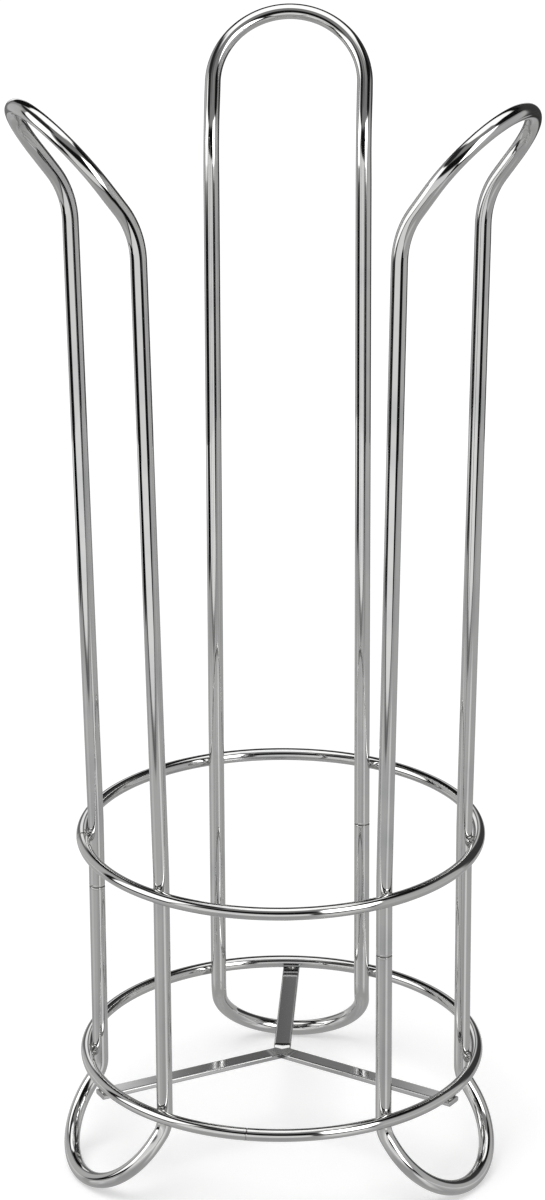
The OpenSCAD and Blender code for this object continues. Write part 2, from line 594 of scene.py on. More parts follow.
class Piece:
    """A piece of the stand, with its finish and the name of the CAD node that it stands for."""

    node: str
    finish: Chrome

    def build(self) -> bpy.types.Object:
        """Builds the piece's surface."""
        raise NotImplementedError

    def finish_sizes(self) -> tuple[float, ...]:
        """Gives what the finish's pattern has to know of the piece."""
        return ()

    def dress(self) -> None:
        """Builds the piece and gives it its finish and its place."""
        piece = self.build()
        finish = self.finish.material(*self.finish_sizes())
        place_piece(piece, self.node, finish)


@dataclass(frozen=True)
class ButtSeam:
    """The groove that is left where a wire's two ends are welded together, with a low burr on
    either side of it. Its sizes are in metres, along the wire or into it, and the burrs' place is
    in half widths of the groove."""

    attribute: ClassVar[str] = "seam_shade"
    depth: float = 0.15 * MM
    half_width: float = 0.25 * MM
    burr: float = 0.05 * MM
    burr_place: float = 2.4
    unevenness: float = 0.2
    waves: int = 3
    phase: float = 1.0
    reach: float = 1.25 * MM
    stations: int = 51
    darkness: float = 1.0

    def added_to(self, stations: np.ndarray, middle: float, unit: float) -> np.ndarray:
        """Puts close stations at the seam in place of those within its reach.

        Args:
            stations: The wire's stations, in some unit.
            middle: The seam's place, in that unit.
            unit: The unit's length in metres.

        Returns:
            All the stations, in order.
        """
        near = middle + np.linspace(-self.reach, self.reach, self.stations) / unit
        away = stations[(stations < near[0]) | (stations > near[-1])]
        return np.sort(np.concatenate([away, near]))

    def below(self, distance: np.ndarray, turn: np.ndarray) -> np.ndarray:
        """Works out how far the surface lies below the round wire: a bell curve in the distance
        from the seam, less a smaller bell on either side of it, and both vary by a wave round the
        wire.

        Args:
            distance: Distance from the seam, along the wire.
            turn: Angle round the wire.

        Returns:
            The depth.
        """
        widths = distance / self.half_width
        burrs = self.burr * np.exp(-((np.abs(widths) - self.burr_place) ** 2))
        groove = self.depth * np.exp(-(widths**2)) - burrs
        return groove * (1 + self.unevenness * (np.sin(self.waves * turn + self.phase) - 1))

    def shade(self, distance: np.ndarray) -> np.ndarray:
        """Gives how far the colour darkens towards the seam colour: the same bell curve, times the
        darkness.
        """
        return self.darkness * np.exp(-((distance / self.half_width) ** 2))

    def make_wire(
        self, name: str, points: np.ndarray, distance: np.ndarray, inside_out: bool
    ) -> bpy.types.Object:
        """Makes a closed wire's surface, with its map and the shade of its seam.

        Args:
            name: The object's name.
            points: A grid of points, with one section of the wire to a row.
            distance: Distance of each section from the seam.
            inside_out: Whether the grid's faces look inwards as they are numbered.

        Returns:
            The wire.
        """
        rows, columns = points.shape[:2]
        order = slice(None, None, -1 if inside_out else 1)
        faces = grid_faces(rows, columns, True, True)[:, order]
        wire = make_piece(name, points, faces, grid_uv(rows, columns)[..., order, :])
        add_attribute(wire, self.attribute, np.broadcast_to(self.shade(distance), (rows, columns)))
        return wire


@dataclass
class WireLoop(Piece):
    """One closed loop of wire: a foot that splays outwards, two legs, a bend, and a leaning arch. A
    round section is carried along a centreline that is a chain of straight runs and arcs."""

    place: Place
    seam_below_ring: float
    sizes: Sizes
    finish: ChromedWire
    seam: ButtSeam = ButtSeam()
    spacing: float = 0.9 * MM
    section_points: int = 48
    bend_thinning: float = 0.045 * MM
    bend_flat: float = 0.05 * MM
    flat_sharpness: int = 6
    bend_blend: int = 6
    # The least change of lean from station to station, in radians, that counts as a bend.
    least_bend: float = 1e-6
    # The least upward part of a direction that counts as upright.
    upright: float = 0.999
    # A distance from the seam, in metres, at which nothing of it is left.
    far: float = 1.0

    @property
    def node(self) -> str:
        """Name of the loop's CAD node."""
        return f"loop_{self.place.word}"

    @property
    def seam_h(self) -> float:
        """Height of the butt seam."""
        return self.sizes.upper_ring_h - self.seam_below_ring

    def leg_run(self) -> tuple[np.ndarray, np.ndarray]:
        """Follows one leg upwards, from the foot's curve to the arch.

        Each stretch has a length and a lean at either end. On a straight one a point moves along
        the lean, and on an arc the radius is the length over the change of lean, with the point at
        that radius times the differences of the cosines (outwards) and of the sines (upwards). The
        upright stretch has more stations near the butt seam.

        Returns:
            Distance outwards and height of each station, and the lean there, in radians.
        """
        s = self.sizes
        splay, flare, lean = np.radians([s.foot_splay, s.flare_angle, s.arch_lean])
        flare_h = s.upper_ring_h + s.flare_start
        bend_h = s.stand_h - s.loop_wire_r - (s.half_spacing + s.arch_run) * np.cos(lean)
        bend_h -= s.arch_bend_r * (np.sin(lean) - np.sin(flare))
        leaning = (bend_h - flare_h - s.flare_bend_r * np.sin(flare)) / np.cos(flare)
        stretches = [
            (s.foot_run, -splay, -splay),
            (s.foot_bend_r * splay, -splay, 0.0),
            (flare_h - s.foot_bend_h, 0.0, 0.0),
            (s.flare_bend_r * flare, 0.0, flare),
            (leaning, flare, flare),
            (s.arch_bend_r * (lean - flare), flare, lean),
            (s.arch_run, lean, lean),
        ]
        out = s.leg_reach + s.foot_bend_r * (1 - np.cos(splay)) + s.foot_run * np.sin(splay)
        start = np.array([out, s.loop_wire_r + s.half_spacing * np.cos(splay)])
        places, leans = [], []
        for length, before, after in stretches:
            stations = max(2, round(length / self.spacing))
            part = np.arange(stations + 1) / stations
            if before == after == 0:
                part = self.seam.added_to(part, (self.seam_h - start[1]) / length, length)
            angle = before + (after - before) * part
            if before == after:
                moved = length * part[:, None] * [np.sin(before), np.cos(before)]
            else:
                radius = length / (after - before)
                moved = radius * np.stack(
                    [np.cos(before) - np.cos(angle), np.sin(angle) - np.sin(before)], -1
                )
            places.append((start + moved)[:-1])
            leans.append(angle[:-1])
            start = start + moved[-1]
        return np.vstack([*places, start]), np.concatenate([*leans, [after]])

    def half_turn(
        self, centre: np.ndarray, outward: np.ndarray, across: np.ndarray
    ) -> tuple[np.ndarray, np.ndarray, np.ndarray]:
        """Carries the wire round half a circle, from one leg over to the other.

        Args:
            centre: The half circle's centre.
            outward: Direction from there to its far point.
            across: Direction from there to the leg where it starts.

        Returns:
            Centres, directions and side vectors of the stations between the two legs, in the half
            circle as cosine times across plus sine times outward.
        """
        radius = self.sizes.half_spacing
        stations = round(np.pi * radius / self.spacing)
        turn = (np.arange(1, stations) / stations * np.pi)[:, None]
        side = np.cos(turn) * across + np.sin(turn) * outward
        return centre + radius * side, np.cos(turn) * outward - np.sin(turn) * across, side

    def centreline(self) -> tuple[np.ndarray, np.ndarray, np.ndarray, np.ndarray]:
        """Joins the legs, the arch and the foot into one closed line on the +X side of the axis.

        Returns:
            Centres, directions and side vectors of all stations, and 1 where the wire bends.
        """
        places, leans = self.leg_run()
        flat = np.zeros(len(places))
        up = np.stack([np.sin(leans), flat, np.cos(leans)], -1)
        side = np.array([0.0, 1.0, 0.0])
        left, right = (
            np.stack([places[:, 0], flat + half * self.sizes.half_spacing, places[:, 1]], -1)
            for half in (1, -1)
        )
        arch = self.half_turn((left[-1] + right[-1]) / 2, up[-1], side)
        foot = self.half_turn((left[0] + right[0]) / 2, -up[0], -side)
        sides = np.broadcast_to(side, up.shape)
        centres = np.vstack([left, arch[0], right[::-1], foot[0]])
        along = np.vstack([up, arch[1], -up[::-1], foot[1]])
        across = np.vstack([sides, arch[2], -sides, foot[2]])
        leg, turn = np.gradient(leans) > self.least_bend, np.ones(len(arch[0]))
        return centres, along, across, np.concatenate([leg, turn, leg[::-1], turn])

    def build(self) -> bpy.types.Object:
        """Builds the loop's surface.

        A point is the centre plus the radius times (cosine times the side vector plus sine times
        the direction crossed with it). The radius is a little less in the bends, where the former
        also flattens the side, and at the butt seam.

        Returns:
            The loop.
        """
        centres, along, across, bent = self.centreline()
        normal = np.cross(along, across)
        turn = angles(self.section_points)
        window = 2 * self.bend_blend + 1
        padded = np.pad(bent, self.bend_blend, mode="wrap")
        soft = np.convolve(padded, np.ones(window) / window, "valid")
        flat = self.bend_flat * np.clip(np.cos(turn), 0, 1) ** self.flat_sharpness
        on_seamed_leg = (centres[:, 1] < 0) & (along[:, 2] < -self.upright)
        from_seam = np.where(on_seamed_leg, centres[:, 2] - self.seam_h, self.far)[:, None]
        radius = self.sizes.loop_wire_r - (self.bend_thinning + flat) * soft[:, None]
        radius = radius - self.seam.below(from_seam, turn)
        points = centres[:, None] + radius[..., None] * (
            np.cos(turn)[:, None] * across[:, None] + np.sin(turn)[:, None] * normal[:, None]
        )
        name = f"wire_{self.place.word}_loop"
        return self.seam.make_wire(name, turned(points, self.place.value), from_seam, False)

    def finish_sizes(self) -> tuple[float, float]:
        """Measures the loop's wire along its centreline.

        Returns:
            The wire's length and its radius.
        """
        centres = self.centreline()[0]
        steps = np.diff(np.vstack([centres, centres[:1]]), axis=0)
        return float(np.linalg.norm(steps, axis=1).sum()), self.sizes.loop_wire_r


@dataclass
class WireRing(Piece):
    """One ring of thinner wire round the outside of the six legs, closed by a butt seam."""

    level: Level
    seam_bearing: float
    sizes: Sizes
    finish: ChromedWire
    seam: ButtSeam = ButtSeam(depth=0.06 * MM, burr=0.02 * MM, darkness=0.35)
    stations: int = 900
    section_points: int = 40

    @property
    def node(self) -> str:
        """Name of the ring's CAD node."""
        return f"{self.level.value}_ring"

    def build(self) -> bpy.types.Object:
        """Builds the ring as a torus: the wire's radius times the cosine goes outwards, and times
        the sine upwards. It dips at the butt seam, and where it would enter a leg it is pressed
        onto the leg's surface, along the line from the leg's axis.

        Returns:
            The ring.
        """
        s = self.sizes
        seam = np.radians(self.seam_bearing)
        bearing = np.linspace(0, FULL_TURN, self.stations, endpoint=False)
        bearing = self.seam.added_to(bearing, seam, s.ring_r)
        turn = angles(self.section_points)
        from_seam = ((bearing - seam) * s.ring_r)[:, None]
        radius = s.ring_wire_r - self.seam.below(from_seam, turn)
        outwards = (s.ring_r + radius * np.cos(turn))[..., None] * on_circle(bearing)[:, None]
        height = s.ring_h(self.level) + radius * np.sin(turn)
        for leg in np.radians(s.leg_bearings()):
            axis = s.leg_circle_r * on_circle(leg)
            away = outwards - axis
            distance = np.linalg.norm(away, axis=-1, keepdims=True)
            outwards = axis + away / distance * np.maximum(distance, s.loop_wire_r)
        points = np.concatenate([outwards, height[..., None]], -1)
        return self.seam.make_wire(f"wire_{self.level.value}_ring", points, from_seam, True)

    def finish_sizes(self) -> tuple[float, float]:
        """Gives the length and the radius of the ring's wire."""
        return FULL_TURN * self.sizes.ring_r, self.sizes.ring_wire_r


@dataclass
class CrossingWelds(Piece):
    """The six collars of metal that the resistance welds squeeze out where a ring crosses the legs.
    A collar's edge reaches a little further on the leg than on the ring, and stops short of each
    wire's own outline."""

    level: Level
    sizes: Sizes
    finish: ChromedWeld
    reach: float = 2.25 * MM
    leg_stretch: float = 1.08
    leg_limit: float = 0.93
    ring_limit: float = 0.95
    drawn_in: float = 0.1
    unevenness: float = 0.16
    wave_orders: tuple[int, ...] = (2, 3, 5, 8)
    least_wave: float = 0.3
    upper_seeds: int = 10
    around: int = 72
    skin_rows: int = 10
    seat_rows: int = 5
    halvings: int = 30
    # Keeps a division by a cosine or a sine from being one by nothing.
    tiny: float = 1e-3

    @property
    def node(self) -> str:
        """Name of the collars' CAD node."""
        return f"{self.level.value}_ring_welds"

    def collar(self, seed: int) -> np.ndarray:
        """Works out one collar, with x outwards from the leg's axis, y along the ring and z up.

        In each direction round the contact, the skin runs from the leg's surface to the ring's,
        drawn in between them as a meniscus is. It closes along both surfaces to where the two wires
        meet, which is where the gap between them is nothing, and which halving finds. The reach
        varies by a few waves whose sizes and phases are drawn from the seed.

        Args:
            seed: Seed of this collar's waves.

        Returns:
            A grid of points, with one closed section to a row.
        """
        s = self.sizes
        rng = np.random.default_rng(seed)
        turn = angles(self.around)
        waves = sum(
            rng.uniform(self.least_wave, 1) / order
            * np.cos(order * turn + rng.uniform(0, FULL_TURN))
            for order in self.wave_orders
        )
        reach = self.reach * (1 + self.unevenness * waves)
        cos, sin = np.cos(turn), np.sin(turn)
        leg_limit = self.leg_limit * s.loop_wire_r / np.maximum(np.abs(cos), self.tiny)
        ring_limit = self.ring_limit * s.ring_wire_r / np.maximum(np.abs(sin), self.tiny)
        leg_edge = np.minimum(reach * self.leg_stretch, leg_limit)
        ring_edge = np.minimum(reach, ring_limit)
        axes = s.loop_wire_r + s.ring_wire_r - s.weld_set_down

        def on_leg(radius: np.ndarray) -> np.ndarray:
            """Points on the leg's surface at a radius in each direction."""
            depth = half_chord(s.loop_wire_r, radius * cos)
            return np.stack([depth, radius * cos, radius * sin], -1)

        def on_ring(radius: np.ndarray) -> np.ndarray:
            """Points on the ring's surface at a radius in each direction."""
            depth = axes - half_chord(s.ring_wire_r, radius * sin)
            return np.stack([depth, radius * cos, radius * sin], -1)

        low, high = np.zeros(self.around), np.minimum(leg_edge, ring_edge)
        for _ in range(self.halvings):
            middle = (low + high) / 2
            apart = on_ring(middle)[:, 0] >= on_leg(middle)[:, 0]
            low, high = np.where(apart, low, middle), np.where(apart, middle, high)
        part = (np.arange(self.skin_rows) / self.skin_rows)[:, None, None]
        skin = on_leg(leg_edge) * (1 - part) + on_ring(ring_edge) * part
        skin[..., 1:] *= 1 - self.drawn_in * np.sin(np.pi * part)
        back = (np.arange(self.seat_rows) / self.seat_rows)[:, None]
        seats = [
            *on_ring(ring_edge + (low - ring_edge) * back),
            *on_leg(low + (leg_edge - low) * back),
        ]
        return np.concatenate([skin, np.array(seats)]).transpose(1, 0, 2)

    def build(self) -> bpy.types.Object:
        """Sets a collar against each of the six legs.

        Returns:
            The collars, as one piece with six closed surfaces.
        """
        s = self.sizes
        rows = self.skin_rows + 2 * self.seat_rows
        shell = grid_faces(self.around, rows, True, True)[:, ::-1]
        first_seed = self.upper_seeds if self.level is Level.UPPER else 0
        points, faces = [], []
        for number, bearing in enumerate(s.leg_bearings()):
            collar = self.collar(first_seed + number) + [s.leg_circle_r, 0, s.ring_h(self.level)]
            points.append(turned(collar, bearing).reshape(-1, 3))
            faces.append(shell + number * self.around * rows)
        name = f"weld_beads_{self.level.value}_ring"
        return make_piece(name, np.vstack(points), np.vstack(faces))


@dataclass
class FloorBar(Piece):
    """One flat bar from the axis out past the lower ring, mitred where it meets the other two."""

    place: Place
    sizes: Sizes
    finish: ChromedBar
    width: float = 6.5 * MM
    thickness: float = 2 * MM
    edge_r: float = 0.5 * MM
    past_ring: float = 2.5 * MM
    cut_bevel: float = 0.22 * MM
    mitre_angle: float = 60
    edge_points: int = 7
    side_points: int = 16
    # Distance of the first section after the mitre, the numbers of sections up to the ring, under
    # it and over the cut end's bevel, and how far out under the ring they are close together.
    first_section: float = 6 * MM
    inner_sections: int = 40
    ring_sections: int = 60
    ring_share: float = 0.9
    bevel_sections: int = 5

    @property
    def node(self) -> str:
        """Name of the bar's CAD node."""
        return f"floor_bar_{self.place.word}"

    def outline(self) -> tuple[np.ndarray, np.ndarray]:
        """Gives the outline across the bar: a rectangle whose four corners are quarter circles,
        counted from the lower right corner round to the left.

        Returns:
            Distance across and height of its points, from the bar's middle.
        """
        half = np.array([self.width, self.thickness]) / 2 - self.edge_r
        corners = half * [(1, -1), (1, 1), (-1, 1), (-1, -1)]
        points = []
        for quarter, corner in enumerate(corners):
            turn = (quarter - 1 + np.arange(self.edge_points + 1) / self.edge_points) * np.pi / 2
            arc = corner + self.edge_r * on_circle(turn)
            target = corners[(quarter + 1) % 4] + self.edge_r * on_circle(turn[-1])
            part = np.arange(1, self.side_points)[:, None] / self.side_points
            points += [arc, arc[-1] + (target - arc[-1]) * part]
        across, height = np.vstack(points).T
        return across, height

    def build(self) -> bpy.types.Object:
        """Builds the bar: the outline is carried outwards from the mitre, whose start is the
        distance across over the tangent of the mitre's angle. Its top is pressed down under the
        ring, to the ring's surface, and its cut end has a small bevel and a flat face.

        Returns:
            The bar.
        """
        s = self.sizes
        low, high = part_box(self.node)
        across, height = self.outline()
        inner, outer = s.ring_r - s.ring_wire_r, s.ring_r + s.ring_wire_r * self.ring_share
        share = np.linspace(0, 1, self.bevel_sections)
        stations = np.concatenate([
            np.linspace(self.first_section, inner, self.inner_sections)[:-1],
            np.linspace(inner, outer, self.ring_sections),
            s.ring_r + self.past_ring - self.cut_bevel * (1 - share),
        ])[:, None]
        inset = np.zeros((len(stations) + 1, 1))
        inset[-self.bevel_sections:, 0] = self.cut_bevel * (1 - np.sqrt(1 - share**2))
        mitre = np.abs(across) / np.tan(np.radians(self.mitre_angle))
        points = np.stack([
            np.vstack([mitre, stations + 0 * across]),
            across * (1 - inset / (self.width / 2)),
            height * (1 - inset / (self.thickness / 2)) + (low.z + high.z) / 2,
        ], -1)
        from_ring = np.hypot(points[..., 0], points[..., 1]) - s.ring_r
        under = s.lower_ring_h - half_chord(s.ring_wire_r, from_ring)
        pressed = (np.abs(from_ring) < s.ring_wire_r) & (points[..., 2] > under)
        points[..., 2] = np.where(pressed, under, points[..., 2])
        rows, count = points.shape[:2]
        end = list(range(count))
        faces = [
            *grid_faces(rows, count, False, True).tolist(),
            end[::-1],
            [(rows - 1) * count + i for i in end],
        ]
        return make_piece(f"flat_bar_{self.place.word}", turned(points, self.place.value), faces)

    def finish_sizes(self) -> tuple[float]:
        """Gives the bar's bearing."""
        return (self.place.value,)


@dataclass
class BarWelds(Piece):
    """Fillets of weld metal on both sides of the lower ring, on top of each bar."""

    node: ClassVar[str] = "floor_bar_welds"
    sizes: Sizes
    finish: ChromedWeld
    reach: float = 2 * MM
    least_reach: float = 0.01 * MM
    ring_share: float = 0.8
    drawn_in: float = 0.12
    unevenness: float = 0.08
    wave_orders: tuple[int, ...] = (2, 3, 5)
    phases: float = 6
    first_seed: int = 40
    end_share: float = 0.98
    along: int = 29
    skin_points: int = 9
    seat_points: int = 4

    def ring_h(self, x: np.ndarray) -> np.ndarray:
        """Height of the ring's underside over the bar, at a distance from the ring's centreline."""
        s = self.sizes
        return s.ring_wire_r - s.weld_set_down - half_chord(s.ring_wire_r, x)

    def fillet(self, seed: int) -> np.ndarray:
        """Works out one fillet, with x away from the ring's centreline, y along the ring and z up
        from the bar. Its reach is a circle's half chord, so it runs out where that meets the ring's
        own seat. The skin is drawn in between the bar and the ring as a meniscus is.

        Args:
            seed: Seed of the reach's waves.

        Returns:
            A grid of points, with one closed section to a row.
        """
        s = self.sizes
        rng = np.random.default_rng(seed)
        contact = (s.ring_wire_r**2 - (s.ring_wire_r - s.weld_set_down) ** 2) ** 0.5
        end = (self.reach**2 - contact**2) ** 0.5
        y = end * np.sin(np.linspace(-1, 1, self.along) * np.pi / 2 * self.end_share)
        waves = sum(
            np.cos(order * y / end + rng.uniform(0, self.phases)) / order
            for order in self.wave_orders
        )
        reach = np.maximum(half_chord(self.reach, y) - contact, 0) * (1 + self.unevenness * waves)
        on_bar = contact + np.maximum(reach, self.least_reach)
        on_ring = contact + self.ring_share * (on_bar - contact)
        part = (np.arange(self.skin_points) / self.skin_points)[:, None]
        skin_x = on_bar * (1 - part) + on_ring * part
        skin_x = skin_x - self.drawn_in * (on_bar - contact) * np.sin(np.pi * part)
        back = (np.arange(self.seat_points) / self.seat_points)[:, None]
        seat_x = on_ring + (contact - on_ring) * back
        rest_x = contact + (on_bar - contact) * back
        x = np.vstack([skin_x, seat_x, rest_x])
        z = np.vstack([self.ring_h(on_ring) * part, self.ring_h(seat_x), np.zeros_like(rest_x)])
        return np.stack([x, np.broadcast_to(y, x.shape), z], -1).transpose(1, 0, 2)

    def build(self) -> bpy.types.Object:
        """Sets a fillet on either side of the ring on each bar.

        Returns:
            The fillets, as one piece with six closed surfaces.
        """
        s = self.sizes
        columns = self.skin_points + 2 * self.seat_points
        top = s.lower_ring_h - s.ring_wire_r + s.weld_set_down
        points, faces = [], []
        for number, (place, side) in enumerate((p, q) for p in Place for q in (-1, 1)):
            fillet = self.fillet(number + self.first_seed) * [side, 1, 1] + [s.ring_r, 0, top]
            first = number * self.along * columns
            shell = grid_faces(self.along, columns, False, True)[:, ::-side]
            row = np.arange(columns)
            ends = row[::side], (self.along - 1) * columns + row[::-side]
            points.append(turned(fillet, place.value).reshape(-1, 3))
            faces += (shell + first).tolist() + [(end + first).tolist() for end in ends]
        return make_piece("weld_beads_floor_bars", np.vstack(points), faces)


@dataclass
class CentreBead(Piece):
    """The low bead of weld metal under the point where the three bars meet."""

    node: ClassVar[str] = "hub_weld"
    finish: ChromedWeld
    around: int = 64
    rings: int = 14
    unevenness: float = 0.05
    waves: int = 3
    phase: float = 0.7

    def build(self) -> bpy.types.Object:
        """Builds the bead: its depth falls off as a parabola from the axis to the rim, the rim's
        radius varies by a few waves, and it is flat where it meets the bars.

        Returns:
            The bead.
        """
        low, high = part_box(self.node)
        radius, depth = (high.x - low.x) / 2, high.z - low.z
        turn = angles(self.around)
        rim = radius * (1 - self.unevenness * (1 + np.sin(self.waves * turn + self.phase)) / 2)
        share = np.sin(np.linspace(1, 0, self.rings, endpoint=False) * np.pi / 2)[:, None]
        dome = np.stack(
            [share * rim * np.cos(turn), share * rim * np.sin(turn),
             high.z - depth * (1 - share**2) + 0 * turn], -1
        )
        pole = self.rings * self.around
        here = np.arange(self.around)
        beside, last = (here + 1) % self.around, pole - self.around
        faces = [
            *grid_faces(self.rings, self.around, False, True)[:, ::-1].tolist(),
            *np.stack([last + beside, last + here, np.full_like(here, pole)], -1).tolist(),
            here.tolist(),
        ]
        points = np.vstack([dome.reshape(-1, 3), [[0, 0, low.z]]])
        return make_piece("weld_bead_bar_centre", points, faces)


@dataclass(frozen=True)
class Card:
    """A pale or dark card, or a soft light, that the metal reflects. It is a convex shape with soft
    edges on a flat map: azimuth and elevation in degrees on the tent, and metres on the floor. Its
    level is its brightness, where 1 is white, and its edge is the width over which it fades."""

    corners: tuple[tuple[float, float], ...]
    level: float
    edge: float
    edge_slope: ClassVar[float] = 4
    # Keeps the exponential in range.
    power_limit: ClassVar[float] = 40

    @classmethod
    def window(
        cls, across: tuple[float, float], up: tuple[float, float], level: float, edge: float = 3
    ) -> "Card":
        """Makes a card with square corners, from its left and right ends and its two heights."""
        (left, right), (low, high) = across, up
        return cls(((left, low), (right, low), (right, high), (left, high)), level, edge)

    def over(self, behind: np.ndarray, across: np.ndarray, up: np.ndarray) -> np.ndarray:
        """Lays the card over what is behind it. Its cover is the product, over its sides, of a
        smooth step from 0 to 1 with the distance inwards from that side.

        Args:
            behind: Brightness behind the card.
            across: First map coordinate of each point.
            up: Second map coordinate of each point.

        Returns:
            The brightness with the card in front.
        """
        cover = np.ones_like(behind)
        for (x, y), (next_x, next_y) in zip(self.corners, self.corners[1:] + self.corners[:1]):
            length = np.hypot(next_x - x, next_y - y)
            inwards = ((next_x - x) * (up - y) - (next_y - y) * (across - x)) / length
            power = -self.edge_slope * inwards / self.edge
            cover = cover / (1 + np.exp(np.clip(power, -self.power_limit, self.power_limit)))
        return behind + (self.level - behind) * cover


@dataclass
class Studio:
    """A pale floor, plain soft light, and a tent of pale and dark cards that only the metal's
    reflections see. Azimuths run from the camera's side, whose bearing is the front, towards its
    right, and the floor's map is metres to the right and metres towards the camera."""

    front: float = -86.92
    floor_size: float = 16.0
    floor_h: float = -0.1 * MM
    floor_colour: str = "#E6E6E6"
    floor_glow: float = 0.37
    fill: float = 0.6
    lamp_place: tuple[float, float, float] = (-0.5, -0.6, 2.0)
    lamp_angle: float = 40
    lamp_strength: float = 1.0
    sheet_h: float = -0.5 * MM
    sheet_gloss: float = 0.1
    sheet_hole_r: float = 1 * MM
    sheet_rings: int = 240
    tent_r: float = 0.9
    tent_h: float = 0.3
    tent_foot: float = -20
    tent_step: float = 0.5
    azimuth_step: float = 1.0
    tent_level: float = 0.4
    tent_cards: tuple[Card, ...] = (
        Card(((-203, 49), (200, 55), (200, 102), (-204, 102)), 1.75, 10),
        Card.window((-200, -140), (28, 49), 0.06, 5),
        Card.window((145, 200), (24, 52), 0.06, 5),
        Card(((-66, 31), (67, 40), (59, 72), (-59, 67)), 0.3, 6),
        Card(((-92, 58), (-50, 61), (0, 62), (0, 68), (-50, 68), (-92, 66)), 0.08, 4),
        Card(((57, 61), (63, 35), (92, 28), (149, 23), (149, 46), (112, 59), (97, 64)), 0.0, 3),
        Card(
            ((-141, 37), (-106, 35), (-51, 33), (-39, 45), (-53, 64), (-102, 64), (-131, 46)),
            0.02, 4,
        ),
        Card.window((-200, -145), (-25, 34), 0.18, 4),
        Card.window((169, 200), (-25, 30), 0.28, 8),
        Card(((-200, 17), (-150, 17), (-137, 30), (-132, 54), (-200, 54)), 0.0, 3),
        Card(((150, 17), (200, 17), (200, 54), (132, 54), (137, 30)), 0.0, 3),
        Card.window((-174.5, -156), (2, 16), 1.25, 3),
        Card.window((156, 174.5), (2, 16), 0.9, 3),
        Card(((117, -25), (165, -32), (165, 40), (113, 40)), 0.05, 7),
        Card(((-145, -23), (-109, -24), (-109, 32), (-129, 27), (-145, 3)), 0.62, 5),
        Card.window((53, 113), (-30, 20), 0.6, 3),
        Card(((-58, -30), (18, -30), (16, 11), (-54, 13)), 1.0, 5),
        Card(((-52, 11), (-15, 1), (22, -4), (24, 40), (-46, 36)), 0.0, 5),
        Card(((-106, -38), (-61, -38), (-57, -3), (-104, -2)), 0.0, 2),
        Card(((16, -38), (51, -38), (49, -1), (15, -5)), 0.0, 2),
        Card(((-102, -10), (-60, -9), (-53, 34), (-101, 37)), 1.9, 2),
        Card(((22, -8), (45, -10), (57, 17), (65, 38), (29, 42), (22, 25)), 3.6, 2),
        Card(((29, 7), (43, 15), (45, 30), (29, 39)), 8.0, 7),
        Card.window((-86, -76), (6, 20), 6, 6),
        Card(((-105, -31), (-95, -31), (-101, 15), (-109, 18)), 0.0, 2),
    )
    floor_level: float = 0.95
    floor_cards_and_shade: tuple[Card, ...] = (
        Card(((-1.3, -0.2), (-0.45, -0.15), (-0.44, 0.32), (-1.3, 0.5)), 0.0, 0.012),
        Card(((0.17, 0.54), (1.4, 0.74), (1.3, 1.6), (0.34, 1.6)), 0.0, 0.02),
        Card(
            ((-0.62, -1.3), (1.3, -1.3), (1.4, 0.83), (0.08, 0.57), (-0.26, 0.46), (-0.63, 0.29)),
            0.05, 0.03,
        ),
        # Painted shade: this grey card makes the reflected floor darker behind the stand.
        Card(
            ((-0.62, -1.3), (1.3, -1.3), (1.4, 0.78), (0.12, 0.535), (-0.17, 0.43), (-0.6, 0.21)),
            0.48, 0.02,
        ),
        Card(((0.33, -0.42), (0.45, -1.3), (1.1, -1.3), (1.2, -0.8)), 0.04, 0.04),
    )

    def reflected(
        self, name: str, points: np.ndarray, level: np.ndarray, roughness: float
    ) -> None:
        """Makes a glowing stage surface that only reflections see.

        Args:
            name: Its name.
            points: Its grid of points, with rows that close.
            level: The brightness at each point.
            roughness: Roughness of its own gloss, from 0 for glassy to 1 for matt.
        """
        surface = make_piece(name, points, grid_faces(*points.shape[:2], False, True))
        add_attribute(surface, "brightness", level)
        material, tree = new_material(f"{name}_glow")
        brightness = add_node(tree, "ShaderNodeAttribute", attribute_name="brightness")
        glow = add_node(
            tree, "ShaderNodeBsdfPrincipled",
            {"Base Color": linear("#000000"), "Roughness": roughness,
             "Emission Color": linear("#FFFFFF"), "Emission Strength": brightness.outputs["Fac"]},
        )
        add_node(tree, "ShaderNodeOutputMaterial", {"Surface": glow})
        material.cycles.emission_sampling = "NONE"
        surface.data.materials.append(material)
        for rays in ("camera", "diffuse", "transmission", "shadow"):
            setattr(surface, f"visible_{rays}", False)

    def build_tent(self) -> None:
        """Builds the tent as a sphere by azimuth and elevation, down to the floor, and lays the
        cards on it in order."""
        azimuth = np.arange(-180, 180, self.azimuth_step)[None, :]
        elevation = np.arange(self.tent_foot, 90 + self.tent_step, self.tent_step)[:, None]
        bearing, rise = np.radians(azimuth + self.front), np.radians(elevation)
        points = [0, 0, self.tent_h] + self.tent_r * np.stack(
            [np.cos(rise) * np.cos(bearing), np.cos(rise) * np.sin(bearing),
             np.sin(rise) + 0 * bearing], -1
        )
        level = np.full((elevation.size, azimuth.size), self.tent_level)
        for card in self.tent_cards:
            level = card.over(level, azimuth, elevation)
        self.reflected("light_tent", points, level, 1.0)

    def build_sheet(self) -> None:
        """Builds the floor that reflections see, as rings of points out to the tent, with its cards
        laid on it. The grey card behind the stand is painted shade, which makes the floor darker
        there."""
        azimuth = np.radians(np.arange(0, 360, self.azimuth_step))[None, :]
        edge = (self.tent_r**2 - self.tent_h**2) ** 0.5
        distance = np.linspace(self.sheet_hole_r, edge, self.sheet_rings)[:, None]
        bearing = azimuth + np.radians(self.front)
        points = np.stack(
            [distance * np.cos(bearing), distance * np.sin(bearing),
             self.sheet_h + 0 * distance * bearing], -1
        )
        level = np.full((distance.size, azimuth.size), self.floor_level)
        for card in self.floor_cards_and_shade:
            level = card.over(level, distance * np.sin(azimuth), distance * np.cos(azimuth))
        self.reflected("pale_sheet", points, level, self.sheet_gloss)

